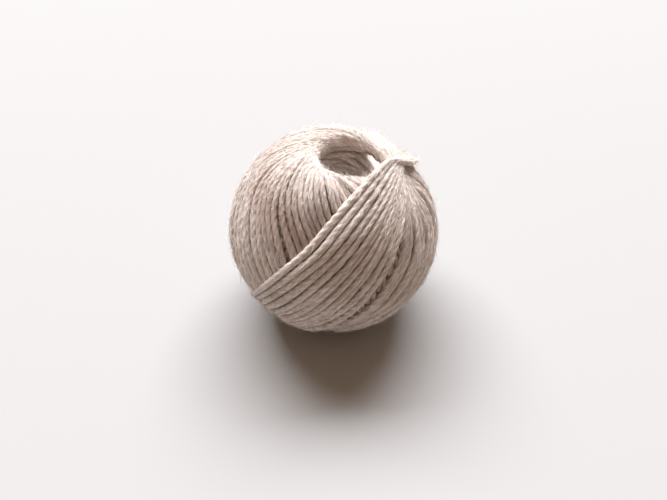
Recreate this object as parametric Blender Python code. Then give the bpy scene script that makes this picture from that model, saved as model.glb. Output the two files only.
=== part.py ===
"""A ball of string that was wound on a spindle and drawn off it, resting on one end.

Metres, +Z up. The ball stands on a small flat spot at z = 0, over the origin. A ball of string is one
length wound on itself, so it is one closed solid. Its surface carries the broad bands of the winding, the
gaps between them, the step where the last turn lies on the older ones, and the open hole that the spindle
left. The single turns of string are finer than this solid shows.
"""

import math
from collections import namedtuple

import bpy
import numpy as np

# Driving sizes, in metres
BALL_RADIUS = 0.0330
HOLE_RADIUS = 0.0080
LIP_DEPTH = 0.0028  # how far the rounded mouths reach down the hole
PRESSED_IN = 0.0029  # how far the ball is pressed flat where it rests
LAYER = 0.0018  # one layer of string, bedded into the layer below
BAND_CROWN = 0.0007  # rise of a band's middle over its edges
SHOULDER_LEVEL = -0.0004  # of the shoulders from the ball's mean radius
KNOLL_HEIGHT = 0.0009  # where the newest turns cross and pile up
KNOLL_WIDTH = 0.0070

# Driving angles, in degrees
HOLE_LEAN = 7.5  # of the hole from upright, towards +X
SHOULDER = 72.0  # height angle at which the ball's round side meets the lip
EVEN_NEAR_SHOULDER = 12.0  # the bands even out over this angle, where all turns run side by side
KNOLL_HEIGHT_ANGLE = 41.0
KNOLL_BEARING = 29.0

# Counts
TURNS_IN_LAYER = 34.0
TURNS_IN_BAND = 4.0
TURN_STEPS = 4  # the winding is looked at this often in each turn
OLDEST_SHOWN = 1.1  # layers back from the last turn; what is older lies level
COLUMNS = 90
SIDE_ROWS = 38
LIP_ROWS = 3
EASINGS = 1  # passes that ease the steps, because string is soft
WALL_ROWS = 5

# The winding, from the last turn back. Each turn is a ring round the ball's middle, and its highest point
# has a height angle above the waist and a bearing round the hole, from +X towards +Y.
Turn = namedtuple("Turn", "back height_angle bearing")
WINDING = (
    Turn(0.0, 72.4, -36.5),
    Turn(11.5, 43.0, 9.0),
    Turn(13.5, 41.6, 19.0),
    Turn(33.0, 49.0, 135.0),
    Turn(38.0, 54.0, 166.0),
    Turn(42.5, 63.5, 192.0),
    Turn(64.0, 72.0, 323.0),
)

# Gaps where two neighbouring turns lie apart and show the layer below.
Gap = namedtuple("Gap", "back depth half_width")
GAPS = (
    Gap(11.5, 0.0014, 0.9),
    Gap(13.5, 0.0008, 0.7),
    Gap(33.0, 0.0012, 0.8),
    Gap(38.0, 0.0016, 0.9),
)

STRING_COLOUR = (0.69, 0.60, 0.52, 1.0)
STRING_ROUGHNESS = 0.95


def clear_scene():
    for thing in list(bpy.data.objects):
        bpy.data.objects.remove(thing)


def direction(height_angle, bearing):
    """Unit vectors about the hole's axis, from angles in degrees."""
    rise, round_hole = np.broadcast_arrays(np.radians(height_angle), np.radians(bearing))
    level = np.cos(rise)
    return np.stack([level * np.cos(round_hole), level * np.sin(round_hole), np.sin(rise)], axis=-1)


def turns_back(points):
    """How many turns back from the last one the string was laid that covers each point."""
    keys = np.array(WINDING)
    back = np.arange(0.0, keys[-1, 0] + 1e-6, 1.0 / TURN_STEPS)
    height_angle = np.interp(back, keys[:, 0], keys[:, 1])
    bearing = np.interp(back, keys[:, 0], keys[:, 2])
    # A ring's own axis is a quarter turn from its highest point.
    side = points @ direction(height_angle - 90.0, bearing).T
    passed = side[:, 1:] * side[:, :-1] <= 0.0
    first = np.where(passed.any(axis=1), passed.argmax(axis=1), len(back) - 2)
    rows = np.arange(len(points))
    before, after = np.abs(side[rows, first]), np.abs(side[rows, first + 1])
    return back[first] + before / (before + after + 1e-12) / TURN_STEPS


def wound_height(points):
    """How far the winding stands off the ball's mean radius in each direction."""
    back = turns_back(points)
    relief = BAND_CROWN * (np.abs(np.sin(math.pi * back / TURNS_IN_BAND)) - 0.5)
    for gap in GAPS:
        relief -= gap.depth * np.exp(-(((back - gap.back) / gap.half_width) ** 2))
    # Turns that cross at one place cross again at the place opposite, and pile up at both.
    aside = np.arccos(np.abs(np.clip(points @ direction(KNOLL_HEIGHT_ANGLE, KNOLL_BEARING), -1.0, 1.0)))
    pile = np.exp(-((BALL_RADIUS * aside / KNOLL_WIDTH) ** 2))
    layers = 0.5 - np.minimum(back / TURNS_IN_LAYER, OLDEST_SHOWN)
    return LAYER * layers + relief * (1.0 - pile) + KNOLL_HEIGHT * pile


def eased(height):
    """One pass of averaging with the neighbours up, down and both ways round."""
    above_below = np.pad(height, ((1, 1), (0, 0)), mode="edge")
    height = 0.5 * height + 0.25 * (above_below[2:] + above_below[:-2])
    return 0.5 * height + 0.25 * (np.roll(height, 1, axis=1) + np.roll(height, -1, axis=1))


def side_grid():
    """The round side: rows from the lower shoulder to the upper one."""
    height_angle = np.linspace(-SHOULDER, SHOULDER, SIDE_ROWS + 1)
    bearing = np.arange(COLUMNS) * 360.0 / COLUMNS
    points = direction(height_angle[:, None], bearing[None, :])
    height = wound_height(points.reshape(-1, 3)).reshape(points.shape[:2])
    for _ in range(EASINGS):
        height = eased(height)
    fade = np.clip((SHOULDER - np.abs(height_angle)) / EVEN_NEAR_SHOULDER, 0.0, 1.0)[:, None]
    return points * (BALL_RADIUS + (height - SHOULDER_LEVEL) * fade + SHOULDER_LEVEL)[..., None]


def ring(radius, level):
    bearing = np.radians(np.arange(COLUMNS) * 360.0 / COLUMNS)
    return np.stack([radius * np.cos(bearing), radius * np.sin(bearing), np.full(COLUMNS, level)], axis=-1)


def hole_grid():
    """The upper lip, the straight wall of the hole and the lower lip, from the top down."""
    edge_radius = (BALL_RADIUS + SHOULDER_LEVEL) * math.cos(math.radians(SHOULDER))
    edge_level = (BALL_RADIUS + SHOULDER_LEVEL) * math.sin(math.radians(SHOULDER))
    lip_level = edge_level - LIP_DEPTH
    lip = []
    for row in range(1, LIP_ROWS + 1):
        turned = 0.5 * math.pi * row / LIP_ROWS
        radius = HOLE_RADIUS + (edge_radius - HOLE_RADIUS) * (1.0 - math.sin(turned))
        lip.append((radius, lip_level + LIP_DEPTH * math.cos(turned)))
    wall = [(HOLE_RADIUS, level) for level in np.linspace(lip_level, -lip_level, WALL_ROWS + 1)[1:-1]]
    lower_lip = [(radius, -level) for radius, level in reversed(lip)]
    return np.array([ring(radius, level) for radius, level in lip + wall + lower_lip])


def stand_upright(points):
    """Leans the hole, raises the ball onto its flat spot and centres it over the origin."""
    lean = math.radians(HOLE_LEAN)
    across, away, up = points.T
    leaned = np.stack(
        [across * math.cos(lean) + up * math.sin(lean), away, up * math.cos(lean) - across * math.sin(lean)],
        axis=-1,
    )
    leaned[:, 2] += BALL_RADIUS - PRESSED_IN
    middle = 0.5 * (leaned.min(axis=0) + leaned.max(axis=0))
    leaned[:, :2] -= middle[:2]
    return leaned


def string_material():
    """Undyed spun cotton: matt and fibrous."""
    material = bpy.data.materials.new("undyed_cotton_string")
    material.use_nodes = True
    surface = material.node_tree.nodes["Principled BSDF"]
    surface.inputs["Base Color"].default_value = STRING_COLOUR
    surface.inputs["Roughness"].default_value = STRING_ROUGHNESS
    surface.inputs["Metallic"].default_value = 0.0
    return material


def wound_ball():
    grid = np.concatenate([side_grid(), hole_grid()])
    rows = len(grid)
    points = stand_upright(grid.reshape(-1, 3))
    faces = []
    for row in range(rows):
        for column in range(COLUMNS):
            this, following = row * COLUMNS, (row + 1) % rows * COLUMNS
            beside = (column + 1) % COLUMNS
            faces.append((this + column, this + beside, following + beside, following + column))
    mesh = bpy.data.meshes.new("ball_of_string")
    mesh.from_pydata(points.tolist(), [], faces)
    mesh.materials.append(string_material())
    mesh.shade_smooth()
    ball = bpy.data.objects.new("ball_of_string", mesh)
    bpy.context.scene.collection.objects.link(ball)
    return ball


def press_flat(ball):
    """Cuts the flat spot on which the ball rests."""
    bpy.ops.mesh.primitive_cube_add(size=1.0, location=(0.0, 0.0, -BALL_RADIUS))
    floor = bpy.context.object
    floor.name = "floor_cutter"
    floor.scale = (4.0 * BALL_RADIUS, 4.0 * BALL_RADIUS, 2.0 * BALL_RADIUS)
    floor.hide_render = True
    floor.display_type = "WIRE"
    cut = ball.modifiers.new("flat_spot", "BOOLEAN")
    cut.operation = "DIFFERENCE"
    cut.solver = "EXACT"
    cut.object = floor


def main():
    clear_scene()
    press_flat(wound_ball())


main()
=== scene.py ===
"""A ball of undyed spun string, wound on a spindle and drawn off it, on a pale table.

Laid out as a Blender add-on and run as a script. The string is followed turn by turn from the newest one
inwards: the newest lies on the ball's outside, and each older turn is pushed in under the turns that cross
it and bridges the hollows as taut string does.
"""

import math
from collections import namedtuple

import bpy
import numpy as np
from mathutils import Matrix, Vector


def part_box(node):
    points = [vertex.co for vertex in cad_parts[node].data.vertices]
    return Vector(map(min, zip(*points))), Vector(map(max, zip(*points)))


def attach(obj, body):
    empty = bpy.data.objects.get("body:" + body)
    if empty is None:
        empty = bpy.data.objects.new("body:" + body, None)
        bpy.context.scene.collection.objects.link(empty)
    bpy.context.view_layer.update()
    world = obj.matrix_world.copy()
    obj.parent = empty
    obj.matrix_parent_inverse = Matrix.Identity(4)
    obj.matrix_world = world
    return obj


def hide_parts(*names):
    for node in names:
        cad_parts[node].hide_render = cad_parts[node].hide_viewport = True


bl_info = {
    "name": "Ball of String",
    "version": (1, 0, 0),
    "blender": (4, 5, 0),
    "location": "3D View > Sidebar > String",
    "description": "Winds a ball of plied string, lines its spindle hole, raises its fuzz and sets the stage",
    "category": "Object",
}

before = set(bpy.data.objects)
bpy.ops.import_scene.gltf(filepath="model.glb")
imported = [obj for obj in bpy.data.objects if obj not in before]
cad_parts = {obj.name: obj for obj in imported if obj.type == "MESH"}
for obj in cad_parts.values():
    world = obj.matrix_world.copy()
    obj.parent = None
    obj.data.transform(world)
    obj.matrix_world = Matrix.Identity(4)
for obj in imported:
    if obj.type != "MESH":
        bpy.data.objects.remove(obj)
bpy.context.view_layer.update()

NODE = "ball_of_string"
LOW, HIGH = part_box(NODE)
MM = 0.001

# The ball's round side is as wide as the frame's box; its middle sits this share of the radius below the top.
BALL_RADIUS = 0.25 * (HIGH.x - LOW.x + HIGH.y - LOW.y)
TOP_SHARE = 0.97

# The winding, from the last turn back. A turn rises on one side, crosses over the top and falls on the
# other side; on each stretch it follows a ring round the ball's middle, given by the height angle and the
# bearing of that ring's highest point, in degrees about the hole's axis. It starts to fall so many degrees
# after its highest point. Its outside stands so many millimetres proud of the mean round, and from the
# height angle in the next column on it climbs to the lip of the hole. The last column is painted shade, from
# 0 to 1: how much darker brown the turn is coloured where shade falls on it, most in a band above the waist.
Turn = namedtuple("Turn", "back rise_height rise_bearing over_height over_bearing fall_height fall_bearing "
                          "falls_after proud lip_from browned")
WINDING = (
    Turn(-1.0, 64.0, -46.0, 75.0, -38.0, 65.0, -43.0, 20.0, 1.4, 58.0, 0.0),
    Turn(0.0, 61.0, -38.0, 70.3, -31.0, 62.5, -35.5, 20.0, 1.4, 58.0, 0.0),
    Turn(1.0, 59.8, -33.5, 68.0, -27.0, 60.8, -31.5, 20.0, 1.3, 58.0, 0.0),
    Turn(2.0, 59.1, -29.0, 65.3, -23.5, 59.6, -27.0, 20.0, 1.2, 58.0, 0.2),
    Turn(5.0, 58.3, -15.0, 60.0, -13.5, 57.0, -16.0, 20.0, 1.1, 58.0, 0.4),
    Turn(10.0, 57.4, 5.5, 58.0, 6.0, 56.0, 5.0, 20.0, 1.1, 58.0, 0.1),
    Turn(11.0, 57.2, 9.2, 59.0, 10.0, 58.0, 11.0, 20.0, 1.7, 58.0, 0.1),
    Turn(12.0, 56.0, 23.2, 61.0, 22.0, 62.0, 18.0, 30.0, -0.1, 58.0, 0.3),
    Turn(14.2, 54.0, 29.0, 61.0, 29.0, 64.0, 27.5, 35.0, 0.4, 58.0, 0.3),
    Turn(15.0, 53.0, 33.0, 61.0, 33.5, 65.0, 34.0, 35.0, 0.5, 58.0, 0.3),
    Turn(18.0, 47.0, 39.0, 64.0, 44.0, 70.0, 46.0, 35.0, 0.5, 58.0, 0.5),
    Turn(24.0, 50.0, 68.0, 74.0, 75.0, 62.0, 86.0, 35.0, 0.5, 58.0, 0.3),
    Turn(28.0, 52.0, 90.0, 74.5, 93.0, 54.0, 107.0, 35.0, 0.5, 58.0, 0.3),
    Turn(32.5, 55.0, 112.0, 74.0, 108.0, 48.0, 134.0, 38.0, 0.4, 58.0, 0.4),
    Turn(33.5, 55.0, 117.0, 74.0, 112.0, 48.5, 140.0, 38.0, 0.4, 58.0, 0.5),
    Turn(35.5, 57.0, 126.0, 73.5, 121.0, 51.0, 154.0, 38.0, 0.4, 58.0, 0.8),
    Turn(36.5, 58.0, 131.0, 73.0, 127.0, 52.0, 158.0, 38.0, 0.5, 58.0, 0.9),
    Turn(37.7, 60.0, 138.0, 73.0, 134.0, 53.5, 162.0, 38.0, 0.6, 58.0, 0.9),
    Turn(38.7, 60.0, 144.0, 73.0, 141.0, 54.0, 172.5, 38.0, -0.6, 42.0, 1.0),
    Turn(41.5, 64.0, 160.0, 73.5, 155.0, 60.5, 183.0, 35.0, -0.9, 38.0, 1.0),
    Turn(43.5, 66.0, 172.0, 75.0, 167.0, 63.5, 191.0, 35.0, -0.9, 36.0, 1.0),
    Turn(45.0, 68.0, 184.0, 75.0, 178.0, 65.0, 197.0, 35.0, -0.9, 36.0, 1.0),
    Turn(48.0, 70.0, 206.0, 74.0, 202.0, 66.5, 210.0, 35.0, -0.9, 36.0, 1.0),
    Turn(50.0, 72.0, 222.0, 74.0, 218.0, 68.5, 222.0, 35.0, -0.9, 36.0, 1.0),
    Turn(56.0, 74.0, 258.0, 74.0, 258.0, 73.0, 258.0, 35.0, -0.9, 40.0, 0.9),
    Turn(64.0, 74.0, 303.0, 74.0, 303.0, 74.0, 303.0, 35.0, -1.1, 50.0, 0.9),
    Turn(84.0, 69.0, 415.0, 69.0, 415.0, 69.0, 415.0, 35.0, -1.8, 58.0, 1.0),
)
LAST_RISE = -60.0  # a turn's count in the table holds where it rises, this far before its highest point
RISES_UNTIL = 55.0  # degrees before the highest point where the rise has half given way to the crossing
UNDER_FROM = 35.0  # degrees from the lowest point where the crossing underneath has half given way
GIVES_WAY = 15.0  # degrees to either side over which a stretch gives way to the next

# Places where the string heaps up, or where the newest turns are drawn down tight: height angle and bearing,
# reach in degrees, how far the string is raised there, and the last turn back that is raised.
Heap = namedtuple("Heap", "height_angle bearing reach rise oldest")
HEAPS = (
    Heap(42.0, 29.0, 34.0, 2.4 * MM, 22.0),
    Heap(42.0, 29.0, 26.0, -1.0 * MM, 3.0),
    Heap(72.0, -105.0, 26.0, 3.4 * MM, 90.0),
    Heap(-56.0, 190.0, 22.0, 1.6 * MM, 11.0),
)
LIP_TO, LIP_PROUD = 70.0, 2.7  # height angle where the lip is whole, and its millimetres proud

# Strands that run side by side squeeze past each other, and strands that cross hold each other apart.
SIDE_BY_SIDE, CROSSING = 8.0, 40.0  # degrees between them
SQUEEZED, HELD_APART = 0.15, 0.85  # share of their thickness that is left
# The last few turns lie on top and are squeezed less: at least this share of their thickness is left.
LOOSE_TURNS, LOOSE_SHARE = 3.5, 0.5
BEARS_ACROSS, BEARS_UP = 0.7, 0.9  # shares of a strand's width and height that bear on its neighbours
BEARS_ROUND = 0.9  # how far the thickness that bears rounds off towards a strand's edges
BEARING_LANES = 9  # lines along the strand at which it is tried against what lies over it
CEILING_CELLS = 300  # cells across each half of the map of what lies over the string
ROOM_REACH = 4  # steps over which the room beside a strand is evened out
# A taut strand bridges hollows: its course is evened out so often, over this share of a turn, and each time
# it rises at most this share of its half height above what holds it down.
TAUT_ROUNDS, TAUT_REACH, TAUT_RISE = 4, 0.014, 0.25

# How the string wanders, as the size of it and its changes of course in a turn: sideways, lower than its
# neighbours, and up and down; then how much its thickness and its twist vary.
WANDERS_ASIDE = ((0.16 * MM, 9), (0.10 * MM, 23))
LIES_LOWER, WANDERS_UP = (0.35 * MM, 3), (0.10 * MM, 31)
THICKNESS_VARIES, TWIST_VARIES = (0.05, 14), (0.5, 5)
EVENING, SPREAD_LEFT = (0.25, 0.5, 0.25), 0.6  # evening-out of a random course, and the spread it leaves
STOPS_SHORT = 0.09  # share of a turn by which the last one ends early, underneath


def srgb(hex_colour):
    """An sRGB hex colour as linear values."""
    values = [int(hex_colour[place:place + 2], 16) / 255.0 for place in (1, 3, 5)]
    return [v / 12.92 if v <= 0.04045 else ((v + 0.055) / 1.055) ** 2.4 for v in values]


# ---------------------------------------------------------------------------------------------------
# Settings
# ---------------------------------------------------------------------------------------------------


def length(name, description, default):
    return bpy.props.FloatProperty(name=name, description=description, default=default, min=0.0,
                                   subtype="DISTANCE", unit="LENGTH", precision=5)


def angle(name, description, degrees):
    return bpy.props.FloatProperty(name=name, description=description, default=math.radians(degrees),
                                   subtype="ANGLE", unit="ROTATION")


def fraction(name, description, default, most=1.0):
    return bpy.props.FloatProperty(name=name, description=description, default=default, min=0.0, max=most,
                                   subtype="FACTOR")


def whole_number(name, description, default, least=0):
    return bpy.props.IntProperty(name=name, description=description, default=default, min=least)


def colour(name, description, hex_colour):
    return bpy.props.FloatVectorProperty(name=name, description=description, default=srgb(hex_colour),
                                         subtype="COLOR", min=0.0, max=1.0)


class STRING_ball_settings(bpy.types.PropertyGroup):
    """Sizes of the ball and of its string."""

    ball_radius: length("Ball radius", "Mean radius of the wound ball", BALL_RADIUS)
    hole_radius: length("Hole radius", "Radius of the hole that the spindle left", 7.8 * MM)
    hole_lean: angle("Hole lean", "Lean of the hole from upright, towards +X", 7.5)
    strand_width: length("String width", "Width of the string across, as it lies", 2.45 * MM)
    strand_height: length("String height", "Thickness of the string, flattened by its tension", 2.2 * MM)
    lay_length: length("Lay length", "Length in which the plies go once round", 8.4 * MM)
    ply_relief: fraction("Ply relief", "Depth of the furrows between plies", 0.13, most=0.5)
    turns: whole_number("Turns", "Turns of string that are wound", 80, least=70)
    seed: whole_number("Seed", "Seed of the string's unevenness", 7)
    fibres: whole_number("Loose fibres", "Number of loose fibres", 26000)
    # Real loose fibres are about 0.02 mm thick; these are coarser so that they show.
    fibre_width: length("Fibre width", "Width of a loose fibre", 0.12 * MM)


class STRING_look_settings(bpy.types.PropertyGroup):
    """Colours of the string and the table."""

    string_colour: colour("String", "Undyed string where the light falls on it", "#FAF5F1")
    shade_colour: colour("String, darker", "Darker and browner fibres in the string", "#C3B2A6")
    # Painted shade in the furrows between the plies.
    furrow_shade_colour: colour("Furrows", "String in the furrows between its plies", "#B39E91")
    # Painted shade: the darker brown that stands in for shade above the waist and on low-lying older string,
    # and how much of it the most shaded string gets.
    painted_shade_colour: colour("Brown string", "Dusty string, and older string under the newer turns", "#987B6A")
    painted_shade_share: fraction("Brown share", "How much of that colour the brownest string has", 0.75)
    table_colour: colour("Table", "Matt white table top", "#A9A9A9")


class STRING_stage_settings(bpy.types.PropertyGroup):
    """The view and the light."""

    camera_height_angle: angle("Camera height", "Height angle of the view", 45.0)
    camera_distance: length("Camera distance", "From the ball's middle", 7.3 * BALL_RADIUS)
    aim_below: angle("Aim below", "How far the view's middle lies below the ball's middle", 1.6)
    focal_length: bpy.props.FloatProperty(name="Focal length", description="Lens on a 36 mm wide sensor",
                                          default=40.2, min=1.0, subtype="DISTANCE_CAMERA")
    window_height: angle("Window height", "Height angle of the window behind the ball", 55.0)
    window_bearing: angle("Window bearing", "Bearing of the window, left of straight behind", 6.0)
    window_width: length("Window width", "Width of the window", 4.8)
    window_tall: length("Window tallness", "Tallness of the window", 1.8)
    window_distance: length("Window distance", "From the ball to the window", 4.0)
    window_power: bpy.props.FloatProperty(name="Window power", description="Power of the window's light",
                                          default=500.0, min=0.0, unit="POWER")
    window_colour: colour("Window colour", "Daylight, a little cooler than the room's own light", "#FAFBFF")
    room_colour: colour("Room", "Warm light that the room gives back", "#FFD8B8")
    room_light: bpy.props.FloatProperty(name="Room light", description="Strength of the light from all round",
                                        default=0.33, min=0.0)


# ---------------------------------------------------------------------------------------------------
# The way of the string
# ---------------------------------------------------------------------------------------------------


def direction(height_angle, bearing):
    """Unit vectors about the hole's axis, from angles in degrees."""
    rise, round_hole = np.broadcast_arrays(np.radians(height_angle), np.radians(bearing))
    level = np.cos(rise)
    return np.stack([level * np.cos(round_hole), level * np.sin(round_hole), np.sin(rise)], axis=-1)


def ring_point(height_angle, bearing, turned):
    """Point of a ring round the ball's middle, turned (degrees) past the ring's highest point."""
    top = direction(height_angle, bearing)
    ahead = direction(0.0 * bearing, bearing + 90.0)
    turned = np.radians(turned)[:, None]
    return np.cos(turned) * top + np.sin(turned) * ahead


def eased(low, high, value):
    share = np.clip((value - low) / (high - low), 0.0, 1.0)
    return share * share * (3.0 - 2.0 * share)


def unit(vectors):
    return vectors / np.linalg.norm(vectors, axis=-1, keepdims=True)


def wandering(rng, progress, size, knots_per_turn):
    """A smooth random course along the string, of about this size."""
    knots = np.arange(0.0, progress[-1] + 2.0, 1.0 / knots_per_turn)
    values = np.convolve(rng.normal(size=len(knots)), EVENING, mode="same")
    return size * (np.interp(progress, knots, values) / SPREAD_LEFT)


def told(back):
    """What the winding's table says of steps so many turns back, by the column's name."""
    keys = np.array(WINDING)
    return {name: np.interp(back, keys[:, 0], keys[:, column]) for column, name in enumerate(Turn._fields)}


def height_angles(points):
    """Height angle of each direction about the hole's axis, in degrees."""
    return np.degrees(np.arcsin(np.clip(points[:, 2], -1.0, 1.0)))


def lip_share(points, lip_from):
    """How far each step has climbed to the lip of the hole, at either end."""
    return eased(lip_from, LIP_TO, np.abs(height_angles(points)))


def string_way(sizes, steps_per_turn, rng):
    """Where the string runs, oldest first: directions from the middle, turns back, and turns wound."""
    progress = np.arange(int((sizes.turns - STOPS_SHORT) * steps_per_turn)) / steps_per_turn
    turned = (progress % 1.0) * 360.0 - 180.0
    back = sizes.turns - 1.0 + (LAST_RISE + 180.0) / 360.0 - progress
    place = told(back)
    falls = turned > 0.0
    over_until = np.where(falls, place["falls_after"], RISES_UNTIL)
    over = 1.0 - eased(over_until - GIVES_WAY, over_until + GIVES_WAY, np.abs(turned))
    under = 1.0 - eased(UNDER_FROM - GIVES_WAY, UNDER_FROM + GIVES_WAY, 180.0 - np.abs(turned))
    side_height = np.where(falls, place["fall_height"], place["rise_height"])
    side_bearing = np.where(falls, place["fall_bearing"], place["rise_bearing"])
    under_bearing = 0.5 * (place["fall_bearing"] + place["rise_bearing"])
    points = over[:, None] * ring_point(place["over_height"], place["over_bearing"], turned)
    points += under[:, None] * ring_point(place["over_height"], under_bearing, turned)
    points += (1.0 - over - under)[:, None] * ring_point(side_height, side_bearing, turned)
    points = unit(points)
    sideways = unit(np.cross(points, np.gradient(points, axis=0)))
    drift = sum(wandering(rng, progress, *course) for course in WANDERS_ASIDE)
    points = unit(points + sideways * (drift / sizes.ball_radius)[:, None])
    return points, back, progress


class CeilingMap:
    """The lowest string so far over each direction, on two equal-area discs, one for each half."""

    def __init__(self, cells, height):
        self.cells = cells
        self.underside = np.full(2 * cells * cells, height)
        self.thickness = np.zeros(2 * cells * cells)
        self.along = np.zeros((2 * cells * cells, 3))

    def index(self, points):
        spread = 1.0 / np.sqrt(1.0 + np.abs(points[..., 2]))
        across = ((points[..., 0] * spread + 1.0) * 0.5 * (self.cells - 1)).astype(np.int64)
        along = ((points[..., 1] * spread + 1.0) * 0.5 * (self.cells - 1)).astype(np.int64)
        return (points[..., 2] < 0.0) * self.cells * self.cells + along * self.cells + across

    def lay(self, points, underside, thickness, along):
        place = self.index(points).ravel()
        underside = underside.ravel()
        lower = underside < self.underside[place]
        place, underside = place[lower], underside[lower]
        order = np.argsort(-underside, kind="stable")
        self.underside[place[order]] = underside[order]
        self.thickness[place[order]] = thickness.ravel()[lower][order]
        self.along[place[order]] = along.reshape(-1, 3)[lower][order]


def degrees_from(points, height_angle, bearing):
    return np.degrees(np.arccos(np.clip(points @ direction(height_angle, bearing), -1.0, 1.0)))


def outside_level(sizes, points, back):
    """Where the string's outside lies if nothing is over it."""
    place = told(back)
    proud = place["proud"]
    lip = lip_share(points, place["lip_from"])
    level = sizes.ball_radius + MM * (proud + (LIP_PROUD - proud) * lip)
    for heap in HEAPS:
        near = np.exp(-(2.0 * degrees_from(points, heap.height_angle, heap.bearing) / heap.reach) ** 2)
        level += heap.rise * near * (1.0 - eased(heap.oldest - 2.0, heap.oldest + 1.0, back))
    return level


def room_beside(sizes, points, steps_per_turn):
    """How far each step of the string is from the turns beside it: the nearer one, and the further."""
    course = unit(np.gradient(points, axis=0))
    step = points[steps_per_turn:] - points[:-steps_per_turn]
    aside = step - (step * course[:-steps_per_turn]).sum(axis=1, keepdims=True) * course[:-steps_per_turn]
    apart = np.linalg.norm(aside, axis=1) * sizes.ball_radius
    after = np.concatenate([apart, np.full(steps_per_turn, sizes.strand_width)])
    before = np.concatenate([np.full(steps_per_turn, sizes.strand_width), apart])
    return smoothed(np.minimum(after, before), ROOM_REACH), smoothed(np.maximum(after, before), ROOM_REACH)


def smoothed(values, reach):
    """Values averaged along the string with a bell of this reach, in samples."""
    offsets = np.arange(-3 * reach, 3 * reach + 1)
    bell = np.exp(-0.5 * (offsets / reach) ** 2)
    padded = np.pad(values, 3 * reach, mode="edge")
    return np.convolve(padded, bell / bell.sum(), mode="valid")


def resting_heights(sizes, points, back, steps_per_turn, rng):
    """Distances of the string from the ball's middle: each turn lies under all the newer ones."""
    half_width, half_height = 0.5 * sizes.strand_width * BEARS_ACROSS, 0.5 * sizes.strand_height * BEARS_UP
    ceiling = CeilingMap(CEILING_CELLS, 2.0 * sizes.ball_radius)
    across = np.linspace(-1.0, 1.0, BEARING_LANES)
    thickness = half_height * np.sqrt(1.0 - BEARS_ROUND * across ** 2)
    course = unit(np.gradient(points, axis=0))
    sideways = np.cross(points, course)
    level = outside_level(sizes, points, back) - 0.5 * sizes.strand_height
    level -= np.abs(wandering(rng, np.arange(len(points)) / steps_per_turn, *LIES_LOWER))
    heights = np.empty(len(points))
    reach = max(2, round(TAUT_REACH * steps_per_turn))
    for start in range(len(points) // steps_per_turn * steps_per_turn, -1, -steps_per_turn):
        turn = slice(start, min(start + steps_per_turn, len(points)))
        lanes = points[turn, None] + sideways[turn, None] * (across * half_width / sizes.ball_radius)[:, None]
        lanes = unit(lanes)
        above = ceiling.index(lanes)
        slant = np.abs((ceiling.along[above] * course[turn, None]).sum(axis=-1))
        slant = np.degrees(np.arccos(np.clip(slant, 0.0, 1.0)))
        left = SQUEEZED + (HELD_APART - SQUEEZED) * eased(SIDE_BY_SIDE, CROSSING, slant)
        left = np.where(back[turn, None] < LOOSE_TURNS, np.maximum(left, LOOSE_SHARE), left)
        centre = ceiling.underside[above] + ceiling.thickness[above]
        free = centre - left * (ceiling.thickness[above] + thickness)
        free = np.minimum(free.min(axis=1), level[turn])
        taut = free
        for _ in range(TAUT_ROUNDS):
            taut = np.minimum(free + TAUT_RISE * half_height, smoothed(taut, reach))
        heights[turn] = taut
        same = np.broadcast_to(thickness, lanes.shape[:2])
        ceiling.lay(lanes, taut[:, None] - thickness, same, np.broadcast_to(course[turn, None], lanes.shape))
    return heights


# ---------------------------------------------------------------------------------------------------
# Meshes
# ---------------------------------------------------------------------------------------------------

BESIDE_SPINDLE = 0.4  # share of the string's width between the spindle and the middle of a strand on it
SPINDLE_BEND = 10  # how sharply a strand turns from its own way to the spindle's round
# The ball is pressed flat where it stands: the height below which it gives, and its lowest string before
# that, as a share of its radius.
PRESSED_BELOW, LOWEST_SHARE = 5.0 * MM, 1.03
PLIES, FURROW_SHARPNESS = 3.0, 1.6


def middle(sizes):
    """The ball's middle, above the table."""
    return np.array([0.0, 0.0, HIGH.z - TOP_SHARE * sizes.ball_radius])


def clear_of_hole(sizes, points):
    """Strands that turn beside the hole lie against the spindle's round, not across it."""
    from_axis = np.linalg.norm(points[:, :2], axis=1, keepdims=True)
    nearest = sizes.hole_radius + BESIDE_SPINDLE * sizes.strand_width
    pushed = (1.0 + (nearest / from_axis) ** SPINDLE_BEND) ** (1.0 / SPINDLE_BEND)
    return np.concatenate([points[:, :2] * pushed, points[:, 2:]], axis=1)


def stand(sizes, points):
    """From the hole's own axes to the table's: leaned, raised, and pressed flat at the bottom."""
    lean = sizes.hole_lean
    across, away, up = points.T
    placed = np.stack([across * math.cos(lean) + up * math.sin(lean), away,
                       up * math.cos(lean) - across * math.sin(lean)], axis=-1) + middle(sizes)
    lowest = middle(sizes)[2] - LOWEST_SHARE * sizes.ball_radius
    pressed = np.clip((PRESSED_BELOW - placed[:, 2]) / (PRESSED_BELOW - lowest), 0.0, 1.0)
    placed[:, 2] = np.maximum(placed[:, 2] - lowest * pressed ** 2, 0.0)
    return placed


def mesh_object(name, points, faces, materials, attributes=()):
    """A smooth mesh object from arrays; faces is an array with one row for each face."""
    mesh = bpy.data.meshes.new(name)
    corners = faces.shape[1]
    mesh.vertices.add(len(points))
    mesh.vertices.foreach_set("co", points.astype(np.float32).ravel())
    mesh.loops.add(faces.size)
    mesh.loops.foreach_set("vertex_index", faces.astype(np.int32).ravel())
    mesh.polygons.add(len(faces))
    mesh.polygons.foreach_set("loop_start", np.arange(0, faces.size, corners, dtype=np.int32))
    for title, kind, values in attributes:
        attribute = mesh.attributes.new(title, kind, "POINT")
        attribute.data.foreach_set("vector" if kind == "FLOAT_VECTOR" else "value",
                                   values.astype(np.float32).ravel())
    mesh.update(calc_edges=True)
    mesh.validate()
    mesh.shade_smooth()
    for material in materials:
        mesh.materials.append(material)
    thing = bpy.data.objects.new(name, mesh)
    bpy.context.scene.collection.objects.link(thing)
    return thing


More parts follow.
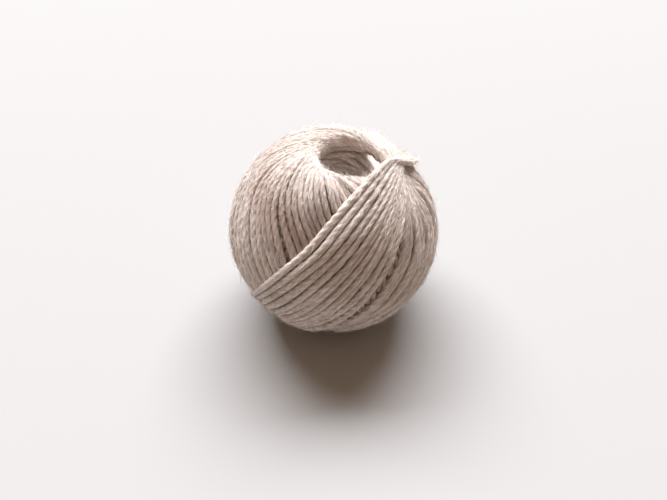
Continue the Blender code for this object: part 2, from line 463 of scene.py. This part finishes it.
def tube(centres, outward, radii_across, radii_up, twist, travelled, shading_paint, sides, sizes, relief=1.0):
    """A plied strand along the centres: points, faces, places in the strand, and ply crests with painted
    shade.
    """
    count = len(centres)
    along = unit(np.gradient(centres, axis=0))
    sideways = unit(np.cross(outward, along))
    up = np.cross(along, sideways)
    round_strand = np.arange(sides) * 2.0 * math.pi / sides
    furrow = (0.5 - 0.5 * np.cos(PLIES * round_strand)) ** FURROW_SHARPNESS
    girth = 1.0 - sizes.ply_relief * relief * furrow
    turned = round_strand[None, :] + twist[:, None]
    flat = np.cos(turned) * girth * radii_across[:, None]
    tall = np.sin(turned) * girth * radii_up[:, None]
    points = centres[:, None] + flat[..., None] * sideways[:, None] + tall[..., None] * up[:, None]
    ring = np.arange(sides)
    beside = np.roll(ring, -1)
    rows = (np.arange(count - 1) * sides)[:, None]
    faces = np.stack([rows + ring, rows + beside, rows + sides + beside, rows + sides + ring], axis=-1)
    own = np.stack([flat / MM, tall / MM, np.broadcast_to((travelled / MM)[:, None], flat.shape)], axis=-1)
    colour_marks = np.stack(np.broadcast_arrays(1.0 - furrow, shading_paint[:, None]), axis=-1)
    return points.reshape(-1, 3), faces.reshape(-1, 4), own.reshape(-1, 3), colour_marks.reshape(-1, 2)


def closed_ends(points, faces, own, colour_marks, sides):
    """Adds a point at each end of a tube and closes it with a fan; quads that end in one point."""
    first = np.arange(sides)
    last = len(points) - sides + first
    tips = np.array([points[first].mean(axis=0), points[last].mean(axis=0)])
    start, end = len(points), len(points) + 1
    half = sides // 2
    fans = [np.stack([np.full(half, start), first[1::2], first[0::2], np.roll(first, 1)[0::2]], axis=-1),
            np.stack([np.full(half, end), np.roll(last, 1)[0::2], last[0::2], last[1::2]], axis=-1)]
    points = np.concatenate([points, tips])
    own = np.concatenate([own, own[[0, -1]]])
    colour_marks = np.concatenate([colour_marks, colour_marks[[0, -1]]])
    return points, np.concatenate([faces] + fans), own, colour_marks


def combined(pieces):
    """Several (points, faces, own, finish) sets as one."""
    offset, points, faces, own, colour_marks = 0, [], [], [], []
    for piece in pieces:
        points.append(piece[0])
        faces.append(piece[1] + offset)
        own.append(piece[2])
        colour_marks.append(piece[3])
        offset += len(piece[0])
    return np.concatenate(points), np.concatenate(faces), np.concatenate(own), np.concatenate(colour_marks)


# ---------------------------------------------------------------------------------------------------
# Materials
# ---------------------------------------------------------------------------------------------------


def node(tree, kind, links=(), **settings):
    """A shader node with its settings; a setting named in_N sets input N, and links are (input, socket)."""
    made = tree.nodes.new(kind)
    for name, value in settings.items():
        if name.startswith("in_"):
            made.inputs[int(name[3:])].default_value = value
        else:
            setattr(made, name, value)
    for place, socket in links:
        tree.links.new(socket, made.inputs[place])
    return made


def new_material(name):
    material = bpy.data.materials.new(name)
    material.use_nodes = True
    tree = material.node_tree
    tree.nodes.clear()
    return material, tree


STRING_NAME = "undyed plied cotton string"


def browned(tree, look, fibre_colour):
    """The fibres' colour with painted shade: a darker brown where shade falls, in a band above the waist and
    on older turns that lie low under the newer ones.
    """
    shading_paint = node(tree, "ShaderNodeAttribute", attribute_name="lying_deep").outputs["Fac"]
    part = node(tree, "ShaderNodeMath", [(0, shading_paint)], operation="MULTIPLY", in_1=look.painted_shade_share)
    mixed = node(tree, "ShaderNodeMix", [("Factor", part.outputs[0]), (6, fibre_colour)], data_type="RGBA")
    mixed.inputs[7].default_value = (*look.painted_shade_colour, 1.0)
    return mixed.outputs[2]


def plied_cotton(look):
    """Undyed cotton, spun and plied: dull, warm grey-white, streaked along its fibres, with painted shade in
    its furrows and where shade falls on the ball.
    """
    material, tree = new_material(STRING_NAME)
    place = node(tree, "ShaderNodeAttribute", attribute_name="strand_place").outputs["Vector"]
    crest = node(tree, "ShaderNodeAttribute", attribute_name="ply_crest").outputs["Fac"]
    # Real fibres are 0.02 mm thick; the streaks are drawn 0.3 mm wide and 3 mm long so that they show.
    lengthwise = node(tree, "ShaderNodeVectorMath", [(0, place)], operation="MULTIPLY",
                      in_1=(3.2, 3.2, 0.35))
    streaks = node(tree, "ShaderNodeTexNoise", [("Vector", lengthwise.outputs[0])], in_2=1.0, in_3=4.0,
                   in_4=0.7)
    # Slubs and spinning unevenness change the tone every 15 mm or so.
    slow = node(tree, "ShaderNodeVectorMath", [(0, place)], operation="MULTIPLY", in_1=(0.12, 0.12, 0.07))
    tone = node(tree, "ShaderNodeTexNoise", [("Vector", slow.outputs[0])], in_2=1.0, in_3=2.0, in_4=0.5)
    streak_share = node(tree, "ShaderNodeMapRange", [(0, streaks.outputs["Fac"])], in_1=0.40, in_2=0.62,
                        in_3=0.0, in_4=1.0)
    tone_share = node(tree, "ShaderNodeMapRange", [(0, tone.outputs["Fac"])], in_1=0.35, in_2=0.7,
                      in_3=0.0, in_4=0.3)
    shade = node(tree, "ShaderNodeMath", [(0, streak_share.outputs[0]), (1, tone_share.outputs[0])],
                 operation="ADD", use_clamp=True)
    fibres = node(tree, "ShaderNodeMix", [("Factor", shade.outputs[0])], data_type="RGBA")
    fibres.inputs[6].default_value = (*look.string_colour, 1.0)
    fibres.inputs[7].default_value = (*look.shade_colour, 1.0)
    # Painted shade: the furrows between the plies are darkened.
    furrow = node(tree, "ShaderNodeMapRange", [(0, crest)], in_1=0.0, in_2=0.5, in_3=0.5, in_4=0.0)
    plies = node(tree, "ShaderNodeMix", [("Factor", furrow.outputs[0]), (6, fibres.outputs[2])],
                 data_type="RGBA")
    plies.inputs[7].default_value = (*look.furrow_shade_colour, 1.0)
    colour = browned(tree, look, plies.outputs[2])
    bump = node(tree, "ShaderNodeBump", [("Height", streaks.outputs["Fac"])], in_0=1.0, in_1=0.25 * MM)
    surface = node(tree, "ShaderNodeBsdfPrincipled", [("Base Color", colour), ("Normal", bump.outputs[0])])
    surface.inputs["Roughness"].default_value = 0.92
    surface.inputs["Specular IOR Level"].default_value = 0.25
    surface.inputs["Sheen Weight"].default_value = 0.3
    surface.inputs["Sheen Roughness"].default_value = 0.5
    node(tree, "ShaderNodeOutputMaterial", [("Surface", surface.outputs[0])])
    return material


def loose_cotton(look):
    """Loose cotton fibres, combed up by handling: thin and pale, so they catch the light at the outline."""
    material, tree = new_material("loose cotton fibre")
    shade = node(tree, "ShaderNodeAttribute", attribute_name="fibre_shade").outputs["Fac"]
    tone = node(tree, "ShaderNodeMix", [("Factor", shade)], data_type="RGBA")
    tone.inputs[6].default_value = (*look.string_colour, 1.0)
    tone.inputs[7].default_value = (*look.shade_colour, 1.0)
    # Painted shade as on the string beneath.
    surface = node(tree, "ShaderNodeBsdfPrincipled", [("Base Color", browned(tree, look, tone.outputs[2]))])
    surface.inputs["Roughness"].default_value = 0.9
    node(tree, "ShaderNodeOutputMaterial", [("Surface", surface.outputs[0])])
    return material


def table_laminate(look):
    """Matt white laminate: even and pale, so only the ball's shadow shows on it."""
    material, tree = new_material("matt white laminate")
    surface = node(tree, "ShaderNodeBsdfPrincipled")
    surface.inputs["Base Color"].default_value = (*look.table_colour, 1.0)
    surface.inputs["Roughness"].default_value = 0.75
    surface.inputs["Specular IOR Level"].default_value = 0.05
    node(tree, "ShaderNodeOutputMaterial", [("Surface", surface.outputs[0])])
    return material


# ---------------------------------------------------------------------------------------------------
# The string's pieces
# ---------------------------------------------------------------------------------------------------

STEPS_PER_TURN = 290
SIDES = 12
TURNS_IN_PIECE = 20
END_TUCK = 60  # steps over which the string's end dips under its neighbours
SUNKEN_SHADE = -1.0, -0.2  # millimetres proud at which string gets full painted shade wherever it runs, as shade falls on low-lying string, and at which it gets none
# Painted shade lies in a band above the waist, between the height angles over which it sets in and those over
# which it ends. Elsewhere the string keeps a small share of its painted shade.
SHADE_BAND_FROM, SHADE_BAND_TO, SHADE_OUTSIDE_BAND = (8.0, 36.0), (38.0, 54.0), 0.1
FILLS = 1.02  # how much of the room it has a strand fills
NARROWEST, WIDEST = 0.7, 1.3  # how far a strand is squeezed narrow by its neighbours, or spreads between them
SPREADS = 1.05  # how far it reaches past the middle on the side where there is more room
# A strand with room beside it isn't squeezed smooth: its furrows are this much deeper, fully so from the
# second of two distances to the next strand, which are in strand widths.
EDGE_RELIEF, EDGE_ROOM = 1.2, (1.25, 1.6)
# The older turns that show on the hole's wall.
WALL_REACH, WALL_LEVELS, WALL_ARCS = 26.5 * MM, 24, 6  # half the wall's height, its levels, turns in each
WALL_ARC, WALL_STEPS, WALL_SIDES = 24.0, 18, 10  # each turn's reach in degrees, steps and sides
WALL_UNEVEN, WALL_SLANT = 0.4 * MM, 2.5 * MM  # how far a turn there strays from its level, and slants
WALL_BACK, WALL_SHADE = (-0.2, 0.6), 0.1  # millimetres it may lie back from the hole, and how much painted shade it gets
# The core: its depth below the outside, and how far behind the hole's wall it lies, in strand widths; its
# divisions round and up, and the ply crest and painted shade it has throughout.
CORE_DEPTH, CORE_INSET = 6.0 * MM, 0.75
CORE_BEARINGS, CORE_LEVELS, CORE_WALL_LEVELS, CORE_MARKS = 72, 40, 22, 0.3


def wound_way(sizes):
    """Directions of the string from the middle, heights, painted shade, turns wound, and the random draws."""
    rng = np.random.default_rng(sizes.seed)
    points, back, progress = string_way(sizes, STEPS_PER_TURN, rng)
    heights = resting_heights(sizes, points, back, STEPS_PER_TURN, rng)
    heights += wandering(rng, progress, *WANDERS_UP)
    tuck = eased(len(points) - END_TUCK, len(points), np.arange(len(points)))
    heights -= tuck * sizes.strand_height
    place = told(back)
    rise = height_angles(points)
    # Painted shade: the turn's own amount in the band above the waist, a little elsewhere, and full where the
    # string lies low.
    shade_band = eased(*SHADE_BAND_FROM, rise) * (1.0 - eased(*SHADE_BAND_TO, rise))
    shade_band = place["browned"] * (SHADE_OUTSIDE_BAND + (1.0 - SHADE_OUTSIDE_BAND) * shade_band)
    shading_paint = np.maximum(shade_band, 1.0 - eased(*SUNKEN_SHADE, place["proud"]))
    # The lip, where the light falls full, gets no painted shade.
    shading_paint = shading_paint * (1.0 - lip_share(points, place["lip_from"]))
    return points, heights, shading_paint, progress, rng


def add_piece(name, parts, material, body="root"):
    """One shown piece of string, riding the body, with the material it is given and its colour marks."""
    points, faces, own, colour_marks = parts
    thing = mesh_object(name, points, faces, [material],
                        (("strand_place", "FLOAT_VECTOR", own), ("ply_crest", "FLOAT", colour_marks[:, 0]),
                         ("lying_deep", "FLOAT", colour_marks[:, 1])))
    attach(thing, body)
    return thing


class STRING_OT_wind_ball(bpy.types.Operator):
    """Wind the string on the ball, turn by turn"""

    bl_idname = "string.wind_ball"
    bl_label = "Wind the Ball"

    def execute(self, context):
        sizes, look = context.scene.string_ball, context.scene.string_look
        material = plied_cotton(look)
        directions, heights, shading_paint, progress, rng = wound_way(sizes)
        centres = clear_of_hole(sizes, directions * heights[:, None])
        travelled = np.concatenate([[0.0], np.cumsum(np.linalg.norm(np.diff(centres, axis=0), axis=1))])
        uneven = 1.0 + wandering(rng, progress, *THICKNESS_VARIES)
        twist = 2.0 * math.pi * travelled / sizes.lay_length + wandering(rng, progress, *TWIST_VARIES)
        nearer, further = room_beside(sizes, directions, STEPS_PER_TURN)
        room = np.minimum(0.5 * (nearer + further), SPREADS * nearer)
        crowded = np.clip(FILLS * room / sizes.strand_width, NARROWEST, WIDEST)
        relief = 1.0 + EDGE_RELIEF * eased(*EDGE_ROOM, further / sizes.strand_width)
        wide, tall = 0.5 * sizes.strand_width * uneven * crowded, 0.5 * sizes.strand_height * uneven
        step = TURNS_IN_PIECE * STEPS_PER_TURN
        for number, start in enumerate(range(0, len(centres) - 1, step), start=1):
            part = slice(start, min(start + step + 1, len(centres)))
            made = tube(centres[part], directions[part], wide[part], tall[part], twist[part], travelled[part],
                        shading_paint[part], SIDES, sizes, relief[part, None])
            points, faces, own, colour_marks = closed_ends(*made, SIDES)
            add_piece(f"string_turns_{number}", (stand(sizes, points), faces, own, colour_marks), material)
        return {"FINISHED"}


class STRING_OT_line_hole(bpy.types.Operator):
    """Lay the older turns that show on the wall of the spindle hole"""

    bl_idname = "string.line_hole"
    bl_label = "Line the Hole"

    def execute(self, context):
        sizes = context.scene.string_ball
        rng = np.random.default_rng(sizes.seed + 1)
        nearest = sizes.hole_radius + 0.5 * sizes.strand_width
        turned = np.linspace(-WALL_ARC, WALL_ARC, WALL_STEPS)
        tubes = []
        for level in np.linspace(-WALL_REACH, WALL_REACH, WALL_LEVELS):
            for bearing in np.arange(WALL_ARCS) * 360.0 / WALL_ARCS + rng.uniform(0.0, 360.0):
                height = level + rng.normal(0.0, WALL_UNEVEN)
                from_axis = nearest + rng.uniform(*WALL_BACK) * MM
                radius = math.hypot(height, from_axis)
                highest = math.degrees(math.atan2(height, from_axis))
                way = ring_point(np.full(WALL_STEPS, highest), np.full(WALL_STEPS, bearing), turned)
                centres = way * radius
                centres[:, 2] += np.radians(turned) * rng.normal(0.0, WALL_SLANT)
                outward = -unit(centres * [1.0, 1.0, 0.0])
                travelled = np.radians(turned - turned[0]) * radius
                twist = 2.0 * math.pi * travelled / sizes.lay_length + rng.uniform(0.0, 6.0)
                half = np.full(WALL_STEPS, 0.5)
                made = tube(centres, outward, half * sizes.strand_width, half * sizes.strand_height, twist,
                            travelled + rng.uniform(0.0, 1.0), np.full(WALL_STEPS, WALL_SHADE), WALL_SIDES,
                            sizes)
                tubes.append(closed_ends(*made, WALL_SIDES))
        points, faces, own, colour_marks = combined(tubes)
        add_piece("string_hole_wall", (stand(sizes, points), faces, own, colour_marks),
                  bpy.data.materials[STRING_NAME])
        return {"FINISHED"}


class STRING_OT_fill_core(bpy.types.Operator):
    """Fill the ball's middle, which the visible turns hide"""

    bl_idname = "string.fill_core"
    bl_label = "Fill the Core"

    def execute(self, context):
        sizes = context.scene.string_ball
        outer = sizes.ball_radius - CORE_DEPTH
        wall = sizes.hole_radius + CORE_INSET * sizes.strand_width
        rim = math.acos(wall / outer)
        heights = np.linspace(-rim, rim, CORE_LEVELS)
        inside = np.linspace(outer * math.sin(rim), -outer * math.sin(rim), CORE_WALL_LEVELS + 2)[1:-1]
        profile = np.concatenate([
            np.stack([outer * np.cos(heights), outer * np.sin(heights)], axis=-1),
            np.stack([np.full(CORE_WALL_LEVELS, wall), inside], axis=-1)])
        bearings = np.arange(CORE_BEARINGS) * 2.0 * math.pi / CORE_BEARINGS
        from_axis, level = profile[:, None, 0], profile[:, None, 1]
        points = np.stack([from_axis * np.cos(bearings), from_axis * np.sin(bearings),
                           np.broadcast_to(level, (len(profile), CORE_BEARINGS))], axis=-1).reshape(-1, 3)
        row, column = np.meshgrid(np.arange(len(profile)), np.arange(CORE_BEARINGS), indexing="ij")
        row_start, next_start = row * CORE_BEARINGS, (row + 1) % len(profile) * CORE_BEARINGS
        beside = (column + 1) % CORE_BEARINGS
        faces = np.stack([row_start + column, row_start + beside, next_start + beside, next_start + column],
                         axis=-1).reshape(-1, 4)
        colour_marks = np.full((len(points), 2), CORE_MARKS)
        core = add_piece("string_core", (stand(sizes, points), faces, points / MM, colour_marks),
                         bpy.data.materials[STRING_NAME])
        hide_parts(NODE)
        return {"FINISHED"}


FUZZ_PIECES = 3
FIBRE_JOINTS, FIBRE_SIDES, FIBRE_TAPER = 3, 3, 0.75  # rings along a loose fibre, its sides and its taper
LYING_SHARE = 0.8
ROOT_HEIGHT, ROOT_LEAN = 0.47, 1.1  # share of the string's height out from its middle, and radians round it
OUTERMOST_CELLS, UNCOVERED = 220, 0.3  # cells of the map, and the share of a strand that may be covered
# Slope and heading off the string's own way in degrees, length, and how far a fibre bends back and aside.
FibreKind = namedtuple("FibreKind", "lowest highest off_course shortest longest back aside")
LYING = FibreKind(3.0, 12.0, 40.0, 1.8 * MM, 5.0 * MM, 0.12, 0.12)
STANDING = FibreKind(15.0, 60.0, 180.0, 0.5 * MM, 1.8 * MM, 0.2, 0.4)


def outermost(sizes, directions, heights):
    """Which steps of the string have nothing over them."""
    top = CeilingMap(OUTERMOST_CELLS, 0.0)
    place = top.index(directions)
    highest = np.zeros_like(top.underside)
    np.maximum.at(highest, place, heights)
    return np.flatnonzero(heights > highest[place] - UNCOVERED * sizes.strand_height)


def fibre_mesh(rng, sizes, roots, outward, along, kind):
    """Thin three-sided fibres, each growing from its root at its own slope and bend."""
    count = len(roots)
    sideways = np.cross(outward, along)
    heading = np.radians(rng.uniform(-kind.off_course, kind.off_course, count))[:, None]
    heading += math.pi * rng.integers(0, 2, count)[:, None]
    level = np.cos(heading) * along + np.sin(heading) * sideways
    slope = np.radians(rng.uniform(kind.lowest, kind.highest, count))[:, None]
    start = np.cos(slope) * level + np.sin(slope) * outward
    bend = kind.aside * unit(rng.normal(size=(count, 3))) - kind.back * outward
    reach = rng.uniform(kind.shortest, kind.longest, count)[:, None]
    share = np.linspace(0.0, 1.0, FIBRE_JOINTS)
    centres = roots[:, None] + reach[:, None] * (share[None, :, None] * start[:, None]
                                                 + share[None, :, None] ** 2 * bend[:, None])
    across = unit(np.cross(start, outward + 0.01 * along))
    over = np.cross(start, across)
    thick = 0.5 * sizes.fibre_width * (1.0 - FIBRE_TAPER * share)
    corners = np.arange(FIBRE_SIDES) * 2.0 * math.pi / FIBRE_SIDES
    rim = np.cos(corners)[:, None] * across[:, None] + np.sin(corners)[:, None] * over[:, None]
    points = centres[:, :, None] + thick[None, :, None, None] * rim[:, None]
    base = (np.arange(count) * FIBRE_JOINTS * FIBRE_SIDES)[:, None, None]
    ring = base + (np.arange(FIBRE_JOINTS - 1) * FIBRE_SIDES)[None, :, None]
    corner = np.arange(FIBRE_SIDES)
    beside = np.roll(corner, -1)
    walls = np.stack([ring + corner, ring + beside, ring + FIBRE_SIDES + beside, ring + FIBRE_SIDES + corner],
                     axis=-1).reshape(-1, 4)
    quads = np.stack([walls[:, [0, 1, 2]], walls[:, [0, 2, 3]]], axis=1).reshape(-1, 3)
    foot = base[:, 0] + np.array([[0, 2, 1]])
    tip = base[:, 0] + FIBRE_SIDES * (FIBRE_JOINTS - 1) + np.array([[0, 1, 2]])
    return points.reshape(-1, 3), np.concatenate([quads, foot, tip])


class STRING_OT_raise_fuzz(bpy.types.Operator):
    """Raise the loose fibres on the outermost string"""

    bl_idname = "string.raise_fuzz"
    bl_label = "Raise the Fuzz"

    def execute(self, context):
        sizes, look = context.scene.string_ball, context.scene.string_look
        material = loose_cotton(look)
        directions, heights, shading_paint, _, rng = wound_way(sizes)
        centres = clear_of_hole(sizes, directions * heights[:, None])
        along = unit(np.gradient(centres, axis=0))
        outer = outermost(sizes, directions, heights)
        for number in range(FUZZ_PIECES):
            sets, colour_marks = [], []
            for kind, share in ((LYING, LYING_SHARE), (STANDING, 1.0 - LYING_SHARE)):
                chosen = rng.choice(outer, int(sizes.fibres / FUZZ_PIECES * share))
                sideways = np.cross(directions[chosen], along[chosen])
                lean = rng.uniform(-ROOT_LEAN, ROOT_LEAN, len(chosen))[:, None]
                outward = np.cos(lean) * directions[chosen] + np.sin(lean) * sideways
                roots = centres[chosen] + ROOT_HEIGHT * sizes.strand_height * outward
                sets.append(fibre_mesh(rng, sizes, roots, outward, along[chosen], kind))
                # Painted shade from the string the fibre grows on, and a random tone for each fibre.
                tone = np.stack([shading_paint[chosen], rng.uniform(0.0, 1.0, len(chosen)) ** 2], axis=-1)
                colour_marks.append(np.repeat(tone, FIBRE_SIDES * FIBRE_JOINTS, axis=0))
            points = np.concatenate([part[0] for part in sets])
            faces = np.concatenate([sets[0][1], sets[1][1] + len(sets[0][0])])
            colour_marks = np.concatenate(colour_marks)
            fuzz = mesh_object(f"string_fuzz_{number + 1}", stand(sizes, points), faces, [material],
                               (("lying_deep", "FLOAT", colour_marks[:, 0]),
                                ("fibre_shade", "FLOAT", colour_marks[:, 1])))
            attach(fuzz, "root")
        return {"FINISHED"}


# ---------------------------------------------------------------------------------------------------
# Stage
# ---------------------------------------------------------------------------------------------------

TABLE_REACH = 3.0  # metres from the ball to the table's edges


class STRING_OT_set_stage(bpy.types.Operator):
    """Set the table, the window light and the view"""

    bl_idname = "string.set_stage"
    bl_label = "Set the Stage"

    def execute(self, context):
        scene = context.scene
        sizes, look, stage = scene.string_ball, scene.string_look, scene.string_stage
        heart = Vector(middle(sizes))
        corners = np.array([(-1.0, -1.0, 0.0), (1.0, -1.0, 0.0), (1.0, 1.0, 0.0), (-1.0, 1.0, 0.0)])
        table = mesh_object("table", TABLE_REACH * corners, np.array([[0, 1, 2, 3]]), [table_laminate(look)])

        height, bearing = stage.window_height, stage.window_bearing
        towards = Vector((-math.sin(bearing) * math.cos(height), math.cos(bearing) * math.cos(height),
                          math.sin(height)))
        pane = bpy.data.lights.new("window", "AREA")
        pane.shape = "RECTANGLE"
        pane.size, pane.size_y = stage.window_width, stage.window_tall
        pane.energy = stage.window_power
        pane.color = stage.window_colour
        window = bpy.data.objects.new("window", pane)
        window.location = heart + stage.window_distance * towards
        window.rotation_euler = towards.to_track_quat("Z", "Y").to_euler()
        scene.collection.objects.link(window)

        room = bpy.data.worlds.new("room")
        room.use_nodes = True
        room.node_tree.nodes["Background"].inputs["Color"].default_value = (*stage.room_colour, 1.0)
        room.node_tree.nodes["Background"].inputs["Strength"].default_value = stage.room_light
        scene.world = room

        lens = bpy.data.cameras.new("view")
        lens.lens = stage.focal_length
        lens.sensor_width = 36.0
        lens.clip_start = 0.01
        camera = bpy.data.objects.new("view", lens)
        height = stage.camera_height_angle
        camera.location = heart + stage.camera_distance * Vector((0.0, -math.cos(height), math.sin(height)))
        camera.rotation_euler = (math.pi / 2.0 - height - stage.aim_below, 0.0, 0.0)
        scene.collection.objects.link(camera)
        scene.camera = camera
        scene.view_settings.view_transform = "Standard"
        return {"FINISHED"}


class STRING_PT_ball(bpy.types.Panel):
    """Sizes, colours and steps of the ball of string"""

    bl_label = "Ball of String"
    bl_idname = "STRING_PT_ball"
    bl_space_type = "VIEW_3D"
    bl_region_type = "UI"
    bl_category = "String"

    def draw(self, context):
        for group in (context.scene.string_ball, context.scene.string_look, context.scene.string_stage):
            column = self.layout.column(align=True)
            for name in group.__annotations__:
                column.prop(group, name)
        for step in STEPS:
            self.layout.operator(step.bl_idname)


GROUPS = (("string_ball", STRING_ball_settings), ("string_look", STRING_look_settings),
          ("string_stage", STRING_stage_settings))
STEPS = (STRING_OT_wind_ball, STRING_OT_line_hole, STRING_OT_fill_core, STRING_OT_raise_fuzz,
         STRING_OT_set_stage)


def register():
    for name, group in GROUPS:
        bpy.utils.register_class(group)
        setattr(bpy.types.Scene, name, bpy.props.PointerProperty(type=group))
    for made in (*STEPS, STRING_PT_ball):
        bpy.utils.register_class(made)


def unregister():
    for made in reversed((*STEPS, STRING_PT_ball)):
        bpy.utils.unregister_class(made)
    for name, group in reversed(GROUPS):
        delattr(bpy.types.Scene, name)
        bpy.utils.unregister_class(group)


def main():
    register()
    bpy.ops.string.wind_ball()
    bpy.ops.string.line_hole()
    bpy.ops.string.fill_core()
    bpy.ops.string.raise_fuzz()
    bpy.ops.string.set_stage()


if __name__ == "__main__":
    main()
